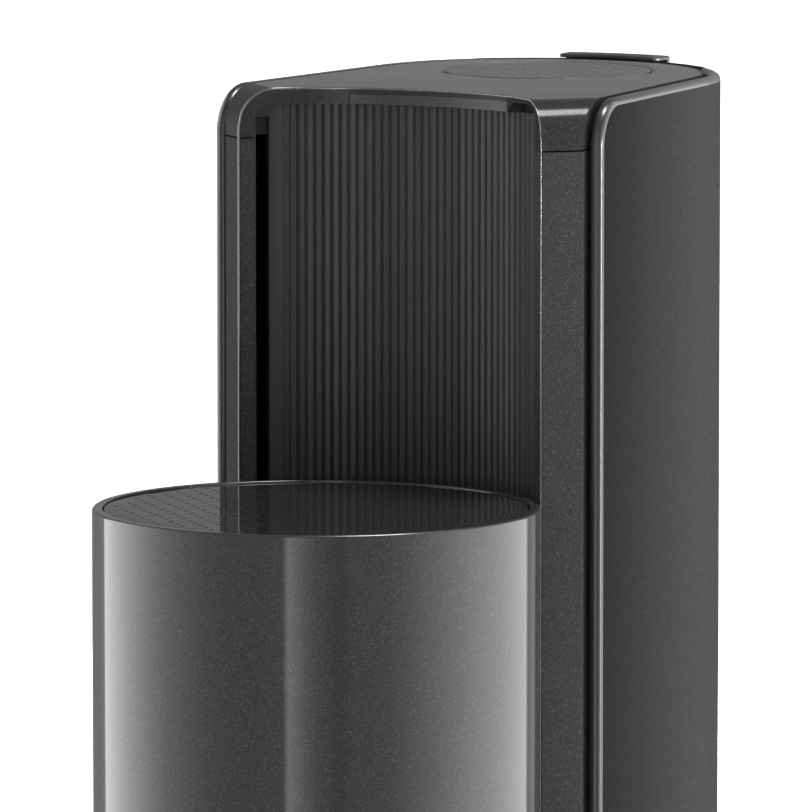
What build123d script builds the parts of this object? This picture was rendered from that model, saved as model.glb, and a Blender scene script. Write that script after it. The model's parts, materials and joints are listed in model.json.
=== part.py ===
from build123d import *
import os
from math import sin, cos, acos, radians, sqrt

os.makedirs("parts", exist_ok=True)

# Driving dimensions, in millimetres. X points right for someone facing the machine,
# Y points to the back, Z points up from the worktop. save() centres the footprint on the origin.
CENTRE_Y = 5.8            # middle of the footprint in the coordinates used below
HOOD_Y = -78.0            # axis of the round hood
HOOD_R = 78.0
HOOD_WALL = 3.0
HOOD_Z0 = 26.0
HOOD_TOP = 292.5
TOWER_TOP = 431.5
SCOOP_R = 81.5            # round hollow in the tower front that the hood runs in
SCOOP_HALF = 47.0         # half angle of the hollow, degrees
RECESS_R = 88.5           # ribbed wall at the back of the hollow
RECESS_HALF = 42.6
WALL_BACK_R = 92.0
RIB_HALF = 33.6
RIB_COUNT = 34
RIB_RISE = 1.0
RIB_FLANK = 0.22          # share of the rib pitch taken by each sloping side
SLOT_ANGLE = 39.8         # slots that let the hood arms into the tower
SLOT_HALF_W = 2.35
SLOT_Z0 = 192.0
SLOT_Z1 = 421.0
REAR_R = 67.6             # round back of the tower
REAR_Y = 93.0
TAPER = 4.9               # side walls lean in towards the back, degrees
SHELL_T = 5.0
SHELL_TIP_Y = -9.4        # front nose of the side shells
CORE_INSET = 6.3          # cap and pillars stand this far inside the shell skin
CAP_Z0 = 414.5            # seam under the cap
ROUND_R = 13.5            # rounding of the cap from front to top
SHELL_ROUND = 17.0        # rounding of the front upper corner of the side shells
EDGE_BEVEL = 1.4          # bevel along the top edges of the skin
PILLAR_OUT = (70.8, -11.6)
PLATE_T = 1.2             # top inlay plate
LINTEL_H = 5.6            # band over the ribbed wall
STRIP_H = 1.7             # thin strip of the cap above the lintel bar
LINTEL_A0 = -19.2         # ends of the lintel bar, degrees about the hood axis
LINTEL_A1 = 27.9
CORNER_R = 6.2            # rounded upper corners of the recess
BASE_Z0 = 4.0
BASE_TOP = 25.0
FLOOR_TOP = 12.0
TANK_Y = 104.3            # axis of the gas cylinder and of the button
TANK_R = 30.0
BUTTON_R = 37.3
BEZEL_R = 41.5
ROD_X = 50.0
ROD_Y = 34.0
ROD_R = 5.0
CARRIAGE_Z0 = 200.0
CARRIAGE_Z1 = 262.0
CARRIAGE_HALF = 59.8
ARM_T = 2.5
LEVER_PIVOT_Y = TANK_Y - 26.0
LEVER_Z = 405.5
COVER_HALF = 46.5         # half width of the removable back cover
TAB_HALF = 20.5           # finger lip of the back cover: half width, reach in and out, rise
TAB_IN = 4.0
TAB_OUT = 7.0
TAB_RISE = 1.6
HINGE_Y = 153.4
HINGE_Z = 10.5
LUG_Y0 = 140.0            # back edge of the floor, where the hinge lugs start
MAGNET_X = 22.0           # pair of magnets that hold the back cover shut
MAGNET_Y = 149.0
MAGNET_Z = 400.0
GAP = 0.4

SIN_T = sin(radians(TAPER))
COS_T = cos(radians(TAPER))
LOW = (Align.CENTER, Align.CENTER, Align.MIN)


# ---------- small helpers ----------

def cyl(r, z0, z1, x=0.0, y=0.0):
    return Pos(x, y, z0) * Cylinder(r, z1 - z0, align=LOW)


def ring(r_out, r_in, z0, z1, x=0.0, y=0.0):
    return cyl(r_out, z0, z1, x, y) - cyl(r_in, z0 - 1, z1 + 1, x, y)


def block(x0, x1, y0, y1, z0, z1):
    return Pos((x0 + x1) / 2, (y0 + y1) / 2, z0) * Box(x1 - x0, y1 - y0, z1 - z0, align=LOW)


def bar_x(r, x0, x1, y, z):
    return Pos((x0 + x1) / 2, y, z) * Rot(0, 90, 0) * Cylinder(r, x1 - x0)


def bar_y(r, y0, y1, x, z):
    return Pos(x, (y0 + y1) / 2, z) * Rot(90, 0, 0) * Cylinder(r, y1 - y0)


def prism(face, z0, z1):
    return extrude(Pos(0, 0, z0) * face, z1 - z0, dir=(0, 0, 1))


def polygon(points):
    return make_face(Polyline(*points, close=True))


def mirrored(shape):
    return mirror(shape, Plane.YZ)


def on_arc(radius, angle):
    """Point at a radius and an angle from +Y about the hood axis."""
    return (radius * sin(radians(angle)), HOOD_Y + radius * cos(radians(angle)))


def turned(shape, angle):
    """Turn a shape built along +Y at the hood axis to an angle about that axis."""
    return Pos(0, HOOD_Y, 0) * Rot(0, 0, -angle) * shape


def save(shape, node):
    solids = [Pos(0, -CENTRE_Y, 0) * solid for solid in shape.solids()]
    export_step(Compound(solids), "parts/" + node + ".step")


# ---------- plan outlines of the tower ----------

def side_x(y, inset=0.0):
    """Half width of the tower at y, on the straight tapered flank."""
    return (REAR_R - inset - (y - REAR_Y) * SIN_T) / COS_T


def tower_face(inset, y_front):
    r = REAR_R - inset
    front = (side_x(y_front, inset), y_front)
    tangent = (r * COS_T, REAR_Y + r * SIN_T)
    flank = Line(front, tangent)
    back = ThreePointArc(tangent, (0, REAR_Y + r), (-tangent[0], tangent[1]))
    flank2 = Line((-tangent[0], tangent[1]), (-front[0], front[1]))
    close = Line((-front[0], front[1]), front)
    return make_face([flank, back, flank2, close])


def face_direction():
    inner = on_arc(SCOOP_R, SCOOP_HALF)
    dx = PILLAR_OUT[0] - inner[0]
    dy = PILLAR_OUT[1] - inner[1]
    length = sqrt(dx * dx + dy * dy)
    return inner, (dx / length, dy / length)


def front_trim():
    """Area in front of the slanted pillar face, right-hand side."""
    inner, u = face_direction()
    a = (inner[0] - 20 * u[0], inner[1] - 20 * u[1])
    b = (inner[0] + 40 * u[0], inner[1] + 40 * u[1])
    return polygon([a, b, (b[0], -80), (a[0], -80)])


def core_face(y_back_cut=None):
    face = tower_face(CORE_INSET, -45.0)
    face -= Pos(0, HOOD_Y) * Circle(SCOOP_R)
    trim = front_trim()
    face -= trim
    face -= mirrored(trim)
    if y_back_cut is not None:
        face -= Pos(0, y_back_cut + 200) * Rectangle(300, 400)
    return face


def wedge(angle0, angle1, radius, z0, z1):
    """Prism between two angles about the hood axis."""
    points = [(0, HOOD_Y), on_arc(radius, angle0), on_arc(radius, angle1)]
    return prism(polygon(points), z0, z1)


def round_cutter(radius, start, direction, length):
    """Solid in front of and above a quarter-round edge, from a start point along a direction."""
    centre_z = TOWER_TOP - radius
    low = radius * (1 - sqrt(0.5))
    arc = ThreePointArc((0, centre_z), (low, TOWER_TOP - low), (radius, TOWER_TOP + 0.001))
    rest = Polyline((radius, TOWER_TOP + 0.001), (radius, TOWER_TOP + 6), (-30, TOWER_TOP + 6),
                    (-30, centre_z), (0, centre_z))
    across = Plane(origin=(start[0], start[1], 0), x_dir=(-direction[1], direction[0], 0),
                   z_dir=(direction[0], direction[1], 0))
    return extrude(across * make_face([arc, rest]), length)


def cap_cutters():
    inner, u = face_direction()
    start = (inner[0] - 25 * u[0], inner[1] - 25 * u[1])
    cutter = round_cutter(ROUND_R, start, u, 60)
    return cutter, mirrored(cutter)


# ---------- tower skin ----------

def side_shell():
    skin = tower_face(0, SHELL_TIP_Y + SHELL_T / 2) - tower_face(SHELL_T, -60)
    skin -= Pos(-100, 0) * Rectangle(200, 600)
    skin -= Pos(0, REAR_Y + 60) * Rectangle(2 * (COVER_HALF + GAP), 120)
    nose_y = SHELL_TIP_Y + SHELL_T / 2
    nose_x = side_x(nose_y, SHELL_T / 2)
    skin += Pos(nose_x, nose_y) * Circle(SHELL_T / 2 / COS_T)
    shell = prism(skin, BASE_Z0, TOWER_TOP)
    shell -= round_cutter(SHELL_ROUND, (20, SHELL_TIP_Y), (1, 0), 90)
    return (shell & bevelled_envelope()) - inner_bevel()


def bevelled_envelope():
    """Tower outline as a solid whose top edge is bevelled."""
    face = tower_face(0, -40)
    low = TOWER_TOP - EDGE_BEVEL
    return prism(face, 0, low) + extrude(Pos(0, 0, low) * face, EDGE_BEVEL, taper=45)


def inner_bevel():
    """Cutter for the inner top edge of the skin."""
    face = Pos(0, 0, TOWER_TOP - EDGE_BEVEL) * tower_face(SHELL_T, -40)
    return extrude(face, EDGE_BEVEL, taper=-45)


def rear_cover():
    skin = tower_face(0, 60) - tower_face(SHELL_T, 0)
    skin &= Pos(0, REAR_Y + 60) * Rectangle(2 * COVER_HALF, 100)
    cover = (prism(skin, 8.0, TOWER_TOP) & bevelled_envelope()) - inner_bevel()
    cover -= block(-22.5, 22.5, HINGE_Y - 9, HINGE_Y + 11, 7, 16)
    for x0 in (8.0, -15.0):
        cover += bar_x(4.0, x0, x0 + 7, HINGE_Y, HINGE_Z)
        cover += block(x0, x0 + 7, HINGE_Y - 1, HINGE_Y + 3.5, HINGE_Z, 22)
        cover -= bar_x(2.06, x0 - 1, x0 + 8, HINGE_Y, HINGE_Z)
    for x in (-MAGNET_X, MAGNET_X):
        cover += bar_y(4.0, MAGNET_Y, MAGNET_Y + 4, x, MAGNET_Z)
    return cover


def cover_tab():
    """Finger lip on the back cover, overhanging the back so that the cover can be pulled open."""
    strip = Pos(0, REAR_Y + 60) * Rectangle(2 * TAB_HALF, 100)
    plan = (tower_face(-TAB_OUT, 60) - tower_face(TAB_IN, 0)) & strip
    lip = prism(plan, TOWER_TOP + 0.3, TOWER_TOP + TAB_RISE)
    hook = (tower_face(-TAB_OUT, 60) - tower_face(2.0 - TAB_OUT, 0)) & strip
    lip += prism(hook, TOWER_TOP - 3.5, TOWER_TOP + 0.4)
    lip = fillet(lip.edges().filter_by(Axis.Z).group_by(Axis.Y)[0], 3.0)
    lip = chamfer(lip.faces().sort_by(Axis.Z)[-1].outer_wire().edges(), 0.5)
    foot = (tower_face(1.6, 60) - tower_face(3.4, 0)) & Pos(0, REAR_Y + 60) * Rectangle(34, 100)
    return lip + prism(foot, TOWER_TOP, TOWER_TOP + 0.5)


def top_cap():
    cap = prism(core_face(), CAP_Z0, TOWER_TOP)
    for cutter in cap_cutters():
        cap -= cutter
    hollow = tower_face(CORE_INSET + 3.0, 0.0) - Pos(0, HOOD_Y) * Circle(WALL_BACK_R + 3.0)
    cap -= prism(hollow, CAP_Z0 - 1, TOWER_TOP - 4.0)
    cap -= recess_cutter(WALL_BACK_R + 0.2, -RECESS_HALF, RECESS_HALF, TOWER_TOP - LINTEL_H)
    wall_seat = ring(WALL_BACK_R + 0.2, RECESS_R - 0.05, CAP_Z0 - 1, TOWER_TOP - LINTEL_H, 0, HOOD_Y)
    cap -= wall_seat & wedge(-RECESS_HALF, RECESS_HALF, 150, CAP_Z0 - 2, TOWER_TOP)
    notch_top = TOWER_TOP - STRIP_H
    cap -= recess_cutter(RECESS_R + 0.1, LINTEL_A1, RECESS_HALF, notch_top) \
        & wedge(LINTEL_A1, 60, 200, CAP_Z0 - 2, TOWER_TOP)
    seat = ring(SCOOP_R + 3.6, SCOOP_R - 2, TOWER_TOP - LINTEL_H - 1, notch_top, 0, HOOD_Y)
    cap -= seat & wedge(LINTEL_A0, LINTEL_A1 + 0.1, 150, 0, TOWER_TOP)
    cap -= prism(plate_face(0.1), TOWER_TOP - PLATE_T, TOWER_TOP + 1)
    cap -= cyl(BEZEL_R - 0.6, CAP_Z0 - 1, TOWER_TOP + 1, 0, TANK_Y)
    return cap


def recess_cutter(radius, angle0, angle1, top):
    """Recess below a height, between two angles, with its upper outer corners rounded."""
    angle_r = 4.2
    low = wedge(angle0, angle1, 150, CAP_Z0 - 1, top - CORNER_R)
    mid = wedge(angle0 + angle_r, angle1 - angle_r, 150, CAP_Z0 - 1, top)
    cutter = low + mid
    for angle in (angle0 + angle_r, angle1 - angle_r):
        corner = bar_y(CORNER_R, 60, 110, 0, 0)
        cutter += Pos(0, 0, top - CORNER_R) * turned(corner, angle)
    return cutter & cyl(radius, CAP_Z0 - 1, TOWER_TOP, 0, HOOD_Y)


def plate_face(grow):
    inner, u = face_direction()
    face = tower_face(CORE_INSET + 0.7 - grow, -45.0)
    face -= Pos(0, HOOD_Y) * Circle(SCOOP_R + 2.6 - grow)
    back = ROUND_R / u[0] - grow
    a = (inner[0] - 30 * u[0], inner[1] - 30 * u[1] + back)
    b = (inner[0] + 30 * u[0], inner[1] + 30 * u[1] + back)
    trim = polygon([a, b, (b[0], -80), (a[0], -80)])
    face -= trim
    face -= mirrored(trim)
    return face


def top_plate():
    plate = prism(plate_face(0.0), TOWER_TOP - PLATE_T, TOWER_TOP)
    plate -= cyl(BEZEL_R + 0.1, TOWER_TOP - 5, TOWER_TOP + 1, 0, TANK_Y)
    top = plate.faces().sort_by(Axis.Z)[-1]
    return chamfer(top.outer_wire().edges(), 0.3)


def front_pillar():
    face = core_face(y_back_cut=4.0)
    solid = prism(face, FLOOR_TOP, CAP_Z0 - 0.5)
    solid &= wedge(RECESS_HALF, 75, 260, FLOOR_TOP, CAP_Z0)
    edges = solid.edges().filter_by(Axis.Z).sort_by(Axis.Y)
    return chamfer(edges[0], 0.5)


def ribbed_wall():
    """Curved wall with upright ribs, slotted for the arms of the hood."""
    start = on_arc(RECESS_R, -RECESS_HALF + 0.2)
    first = on_arc(RECESS_R, -RIB_HALF)
    left = ThreePointArc(start, on_arc(RECESS_R, (-RECESS_HALF - RIB_HALF) / 2), first)
    lines = [left]
    step = 2 * RIB_HALF / RIB_COUNT
    for index in range(RIB_COUNT):
        a = -RIB_HALF + index * step
        foot = on_arc(RECESS_R, a)
        shoulder = on_arc(RECESS_R - RIB_RISE, a + RIB_FLANK * step)
        shoulder2 = on_arc(RECESS_R - RIB_RISE, a + (1 - RIB_FLANK) * step)
        lines.append(Polyline(foot, shoulder, shoulder2, on_arc(RECESS_R, a + step)))
    last = on_arc(RECESS_R, RIB_HALF)
    end = on_arc(RECESS_R, RECESS_HALF - 0.2)
    lines.append(ThreePointArc(last, on_arc(RECESS_R, (RECESS_HALF + RIB_HALF) / 2), end))
    back_end = on_arc(WALL_BACK_R, RECESS_HALF - 0.2)
    back_start = on_arc(WALL_BACK_R, -RECESS_HALF + 0.2)
    lines.append(Line(end, back_end))
    lines.append(ThreePointArc(back_end, on_arc(WALL_BACK_R, 0), back_start))
    lines.append(Line(back_start, start))
    wall = prism(make_face(lines), FLOOR_TOP, TOWER_TOP - LINTEL_H)
    for side in (-1, 1):
        slot = block(-SLOT_HALF_W, SLOT_HALF_W, 80, 100, SLOT_Z0, SLOT_Z1)
        wall -= turned(slot, side * SLOT_ANGLE)
    return wall


def slot_liner():
    """Thin lip around one slot, behind the wall."""
    outer = block(-SLOT_HALF_W - 1.2, SLOT_HALF_W + 1.2, WALL_BACK_R + 0.1, WALL_BACK_R + 3.0,
                  SLOT_Z0 - 3, SLOT_Z1 - 9)
    inner = block(-SLOT_HALF_W, SLOT_HALF_W, WALL_BACK_R - 2, WALL_BACK_R + 5, SLOT_Z0, SLOT_Z1)
    return turned(outer - inner, SLOT_ANGLE)


def lintel_bar():
    """Curved trim bar set into the band over the ribbed wall."""
    bar = ring(SCOOP_R + 3.5, SCOOP_R, TOWER_TOP - LINTEL_H, TOWER_TOP - STRIP_H, 0, HOOD_Y)
    return bar & wedge(LINTEL_A0 + 0.1, LINTEL_A1, 150, 0, TOWER_TOP)


# ---------- base ----------

def base_shell():
    trim = front_trim()
    tower_part = tower_face(SHELL_T + 0.3, -45.0) - trim - mirrored(trim)
    floor = prism(tower_part, BASE_Z0, FLOOR_TOP)
    floor -= block(-COVER_HALF - 2, COVER_HALF + 2, LUG_Y0, 180, 0, 40)
    body = cyl(HOOD_R, BASE_Z0, BASE_TOP, 0, HOOD_Y) + floor
    body -= cyl(62.0, 13.0, BASE_TOP + 1, 0, HOOD_Y)
    top_edge = body.faces().filter_by(Axis.Z).sort_by(Axis.Z)[-1].edges().sort_by(Axis.Y)[0]
    return chamfer(top_edge, 0.8)


def base_plate():
    plate = prism(tower_face(12.0, -20.0), 2.5, BASE_Z0)
    plate -= block(-80, 80, 130, 170, 0, 10)
    plate += cyl(72.0, 2.5, BASE_Z0, 0, HOOD_Y)
    for x, y in foot_places():
        plate -= cyl(9.2, 0, 10, x, y)
    return plate


def foot_places():
    return [(-44.0, -112.0), (44.0, -112.0), (-42.0, 112.0), (42.0, 112.0)]


def rubber_feet():
    feet = [Pos(x, y, 0) * Cone(8.0, 9.0, BASE_Z0, align=LOW) for x, y in foot_places()]
    return Compound(children=feet)


def drip_tray():
    tray = cyl(61.5, 13.1, 24.0, 0, HOOD_Y) - cyl(59.5, 14.8, 30, 0, HOOD_Y)
    return tray


def drip_grille():
    disc = cyl(59.2, 21.6, 24.0, 0, HOOD_Y)
    for ix in range(-5, 6):
        x = ix * 9.0
        half = sqrt(52.0 ** 2 - x * x)
        slot = block(x - 2.0, x + 2.0, HOOD_Y - half, HOOD_Y + half, 20, 26)
        disc -= slot
    disc += ring(20.0, 17.0, 21.6, 24.0, 0, HOOD_Y)
    disc += block(-52, 52, HOOD_Y - 2, HOOD_Y + 2, 21.6, 24.0)
    return disc


def grille_posts():
    posts = [cyl(2.5, 14.8, 21.6, 50 * cos(radians(a)), HOOD_Y + 50 * sin(radians(a)))
             for a in (5, 175, 185, 355)]
    return Compound(children=posts)


# ---------- chassis and guides ----------

def rod_bracket(z0):
    plate = block(-57, 57, 25, 51, z0, z0 + 7)
    for side in (-1, 1):
        plate -= cyl(ROD_R + 0.01, z0 - 1, z0 + 8, side * ROD_X, ROD_Y)
    return plate


def chassis_frame():
    plate = block(-54, 54, 51, 54, FLOOR_TOP, 420)
    plate -= block(-30, 30, 40, 60, 40, 180)
    plate -= block(-30, 30, 40, 60, 200, 350)
    foot = block(-54, 54, 54, 66, FLOOR_TOP, FLOOR_TOP + 3)
    return plate + foot


def guide_rod(side):
    return cyl(ROD_R, FLOOR_TOP + 0.5, 419.5, side * ROD_X, ROD_Y)


def carriage():
    body = block(-CARRIAGE_HALF, CARRIAGE_HALF, 24, 30, CARRIAGE_Z0, CARRIAGE_Z1)
    for side in (-1, 1):
        body += cyl(9.5, CARRIAGE_Z0, CARRIAGE_Z1, side * ROD_X, ROD_Y)
    for side in (-1, 1):
        body -= cyl(7.5, CARRIAGE_Z0 - 1, CARRIAGE_Z1 + 1, side * ROD_X, ROD_Y)
    body -= block(-34, 34, 20, 40, CARRIAGE_Z0 + 14, CARRIAGE_Z1 - 14)
    return body


def guide_bushes():
    bushes = []
    for side in (-1, 1):
        for z0 in (CARRIAGE_Z0, CARRIAGE_Z1 - 16):
            bushes.append(ring(7.48, ROD_R + 0.06, z0, z0 + 16, side * ROD_X, ROD_Y))
    return Compound(children=bushes)


def hood_arm():
    """Bent steel plate from the hood skin to the carriage, right-hand side."""
    half = ARM_T / 2
    x_out = CARRIAGE_HALF + half
    corner_r = x_out / sin(radians(SLOT_ANGLE))
    near = on_arc(HOOD_R - 1, SLOT_ANGLE)
    corner = on_arc(corner_r, SLOT_ANGLE)
    path = Polyline(near, corner, (x_out, 33))
    profile = trace(path, ARM_T)
    arm = prism(profile, CARRIAGE_Z0, CARRIAGE_Z1)
    return arm - cyl(HOOD_R + 0.02, 0, 500, 0, HOOD_Y)


def arm_screws():
    screws = []
    for side in (-1, 1):
        for z in (CARRIAGE_Z0 + 8, CARRIAGE_Z1 - 8):
            x0 = CARRIAGE_HALF + ARM_T + 0.02
            screws.append(bar_x(3.5, side * x0 if side > 0 else side * (x0 + 2),
                                side * (x0 + 2) if side > 0 else side * x0, 27, z))
    return Compound(children=screws)


# ---------- hood ----------

def hood_shell():
    shell = cyl(HOOD_R, HOOD_Z0, HOOD_TOP, 0, HOOD_Y)
    shell -= cyl(HOOD_R - HOOD_WALL, HOOD_Z0 - 1, HOOD_TOP - 4.0, 0, HOOD_Y)
    shell -= cyl(HOOD_R - 3.7, 0, HOOD_TOP + 1, 0, HOOD_Y)
    top = shell.faces().filter_by(Axis.Z).sort_by(Axis.Z)[-1]
    shell = chamfer(top.outer_wire().edges(), 0.5)
    line_hole = turned(bar_y(2.2, 70, 82, 0, 0), SLOT_ANGLE)
    return shell - Pos(0, 0, CARRIAGE_Z1 + 6) * line_hole


def hood_lid():
    lid = cyl(HOOD_R - 4.1, HOOD_TOP - 3.4, HOOD_TOP - 0.5, 0, HOOD_Y)
    top = lid.faces().sort_by(Axis.Z)[-1]
    return chamfer(top.edges(), 0.3)


def hood_deck():
    """Plate inside the hood that carries the carbonating head."""
    deck = cyl(HOOD_R - HOOD_WALL - 0.1, 280.0, 284.0, 0, HOOD_Y)
    deck -= cyl(15.0, 270, 290, 0, HOOD_Y)
    for a in range(0, 360, 60):
        x = 48 * sin(radians(a))
        y = HOOD_Y + 48 * cos(radians(a))
        deck -= cyl(12.0, 270, 290, x, y)
    for a in range(30, 390, 60):
        x = 66 * sin(radians(a))
        y = HOOD_Y + 66 * cos(radians(a))
        deck += cyl(4.0, 284.0, HOOD_TOP - 3.4, x, y)
    return deck


def carbonating_head():
    head = cyl(26.0, 272.0, 280.0, 0, HOOD_Y) + cyl(20.0, 240.0, 272.0, 0, HOOD_Y)
    head += cyl(14.9, 280.0, 284.0, 0, HOOD_Y)
    head -= cyl(3.0, 236.0, 262.0, 0, HOOD_Y)
    head -= ring(16.0, 12.0, 239, 246, 0, HOOD_Y)
    return head


def nozzle_tube():
    return cyl(3.0, 124.0, 262.0, 0, HOOD_Y) - cyl(1.6, 120, 258, 0, HOOD_Y)


def nozzle_tip():
    tip = Pos(0, HOOD_Y, 116.0) * Cone(1.8, 4.6, 8.0, align=LOW)
    return tip - cyl(0.9, 110, 130, 0, HOOD_Y)


def bottle_seal():
    return ring(16.0, 12.0, 240.5, 246.0, 0, HOOD_Y)


def head_screws():
    places = [(23 * sin(radians(a)), HOOD_Y + 23 * cos(radians(a))) for a in (45, 135, 225, 315)]
    return Compound(children=[cyl(2.2, 269.5, 272.0, x, y) for x, y in places])


def gas_line():
    """Rigid gas tube from the carriage through a slot to the carbonating head."""
    z = CARRIAGE_Z1 + 6
    points = [(57.2, 23.8, z), (61.0, 8.0, z), (*on_arc(97.0, SLOT_ANGLE), z),
              (*on_arc(20.06, SLOT_ANGLE), z)]
    path = FilletPolyline(*points, radius=4.0)
    return sweep(path.location_at(0) * Circle(1.5), path)


def line_elbow():
    """Fitting on the carriage where the hose meets the gas tube."""
    return block(54.8, 59.5, 24.2, 29.9, CARRIAGE_Z1, CARRIAGE_Z1 + 10)


# ---------- gas system ----------

def co2_cylinder():
    pts = [(0, 16), (26, 16), (TANK_R, 20), (TANK_R, 312)]
    bottom = Polyline(*pts)
    dome = RadiusArc((TANK_R, 312), (13, 334), 24)
    if dome.length > 60:
        dome = RadiusArc((TANK_R, 312), (13, 334), -24)
    close = Polyline((13, 334), (13, 344), (0, 344), (0, 16))
    face = make_face([bottom, dome, close])
    body = revolve(Plane.XZ * face, Axis.Z)
    return Pos(0, TANK_Y, 0) * body


def cylinder_valve():
    valve = cyl(12.0, 344.0, 352.0, 0, TANK_Y) + cyl(9.5, 352.0, 371.0, 0, TANK_Y)
    return valve - cyl(2.6, 364.0, 372.0, 0, TANK_Y)


def inlet_seal():
    return ring(7.5, 3.2, 371.0, 373.0, 0, TANK_Y)


def valve_block():
    body = block(-19, 19, TANK_Y - 32, TANK_Y + 14, 373.0, 398.0)
    body += ring(13.5, 9.6, 358.0, 373.0, 0, TANK_Y)
    body -= cyl(2.06, 370.0, 400.0, 0, TANK_Y)
    body -= bar_x(2.6, 10, 20, TANK_Y - 22, 384)
    for side in (-1, 1):
        body += block(side * 9.5 - 2.5, side * 9.5 + 2.5, LEVER_PIVOT_Y - 5, LEVER_PIVOT_Y + 5,
                      398.0, 410.2)
        body -= bar_x(2.02, side * 9.5 - 3, side * 9.5 + 3, LEVER_PIVOT_Y, LEVER_Z)
    return body


def valve_bracket():
    """Bent plate that ties the valve block to the chassis."""
    shelf = block(-19, 19, 54, TANK_Y - 32, 380.0, 384.0)
    lip = block(-19, 19, 54, 57, 384.0, 404.0)
    return shelf + lip


def relief_valve():
    body = bar_x(4.0, -28, -19, TANK_Y - 10, 386) + bar_x(5.5, -34, -28, TANK_Y - 10, 386)
    return body


def hose_barb():
    return bar_x(2.55, 12, 19, TANK_Y - 22, 384) + bar_x(3.5, 19, 23, TANK_Y - 22, 384) \
        + bar_x(2.0, 23, 30, TANK_Y - 22, 384)


def gas_hose():
    """Soft hose with a slack bend between the hood carriage and the valve block."""
    points = [(57.2, 27, CARRIAGE_Z1 + 10.05), (57.4, 27, 296), (59.5, 44, 312), (59.0, 62, 330),
              (50, 78, 360), (42, TANK_Y - 22, 384), (30.1, TANK_Y - 22, 384)]
    path = FilletPolyline(*points, radius=[9, 9, 10, 10, 5])
    return sweep(path.location_at(0) * Circle(2.4), path)


def valve_pin():
    return cyl(2.0, 374.0, 402.7, 0, TANK_Y)


def actuator_lever():
    lever = block(-6.3, 6.3, LEVER_PIVOT_Y - 4, TANK_Y + 14, 403.0, 408.0)
    return lever - bar_x(2.06, -8, 8, LEVER_PIVOT_Y, LEVER_Z)


def lever_pin():
    return bar_x(2.0, -12.5, 12.5, LEVER_PIVOT_Y, LEVER_Z)


def cylinder_cradle():
    cup = cyl(34.0, FLOOR_TOP, 34.0, 0, TANK_Y) - cyl(TANK_R + 0.6, 15.9, 40, 0, TANK_Y)
    return cup


def cylinder_collar():
    collar = ring(34.0, TANK_R + 0.6, 296.0, 308.0, 0, TANK_Y)
    collar += block(-12, 12, 54, TANK_Y - 32.5, 296.0, 308.0)
    collar -= block(-40, 40, TANK_Y + 12, TANK_Y + 60, 290, 320)
    return collar


# ---------- button ----------

def carbonate_button():
    disc = cyl(BUTTON_R, TOWER_TOP - 4.0, TOWER_TOP - 0.4, 0, TANK_Y)
    disc += ring(31.0, 28.5, TOWER_TOP - 11.0, TOWER_TOP - 4.0, 0, TANK_Y)
    top = disc.faces().sort_by(Axis.Z)[-1]
    return chamfer(top.edges(), 0.3)


def button_plunger():
    stem = cyl(5.0, 413.5, TOWER_TOP - 4.0, 0, TANK_Y + 10)
    return stem + cyl(2.0, 408.3, 413.5, 0, TANK_Y + 10)


def button_bezel():
    dish = cyl(BEZEL_R, TOWER_TOP - 4.0, TOWER_TOP, 0, TANK_Y)
    dish -= cyl(BUTTON_R + 0.7, TOWER_TOP - 6, TOWER_TOP + 1, 0, TANK_Y)
    dish -= Pos(0, TANK_Y, TOWER_TOP - 1.0) * Cone(BUTTON_R + 0.7, BEZEL_R - 0.1, 1.01, align=LOW)
    dish -= ring(BEZEL_R + 2, BEZEL_R - 0.7, TOWER_TOP - 6, TOWER_TOP - PLATE_T, 0, TANK_Y)
    return dish


def button_well():
    cup = cyl(40.0, 411.4, TOWER_TOP - 4.05, 0, TANK_Y) - cyl(38.4, 413.0, TOWER_TOP, 0, TANK_Y)
    cup -= cyl(7.0, 405, 420, 0, TANK_Y + 10)
    return cup


def button_spring():
    helix = Helix(pitch=3.25, height=13.0, radius=16.0)
    wire = sweep(helix.location_at(0) * Circle(0.6), helix)
    return Pos(0, TANK_Y, 413.8) * wire


# ---------- back cover fittings ----------

def hinge_lugs():
    lugs = []
    for x0 in (15.4, -21.0):
        lug = block(x0, x0 + 5.6, LUG_Y0, HINGE_Y, 6.5, 12) + bar_x(3.5, x0, x0 + 5.6, HINGE_Y, HINGE_Z)
        lugs.append(lug - bar_x(2.01, x0 - 1, x0 + 7, HINGE_Y, HINGE_Z))
    return Compound(children=lugs)


def hinge_pins():
    return Compound(children=[bar_x(2.0, x0, x0 + 13, HINGE_Y, HINGE_Z) for x0 in (8.0, -21.0)])


def cover_magnets():
    discs = [bar_y(4.0, MAGNET_Y - 3.4, MAGNET_Y, x, MAGNET_Z) for x in (-MAGNET_X, MAGNET_X)]
    return Compound(children=discs)


def magnet_plates():
    plates = [block(x - 4, x + 4, 143.9, 145.0, 394.0, TOWER_TOP - 4) for x in (-MAGNET_X, MAGNET_X)]
    return Compound(children=plates)


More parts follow.
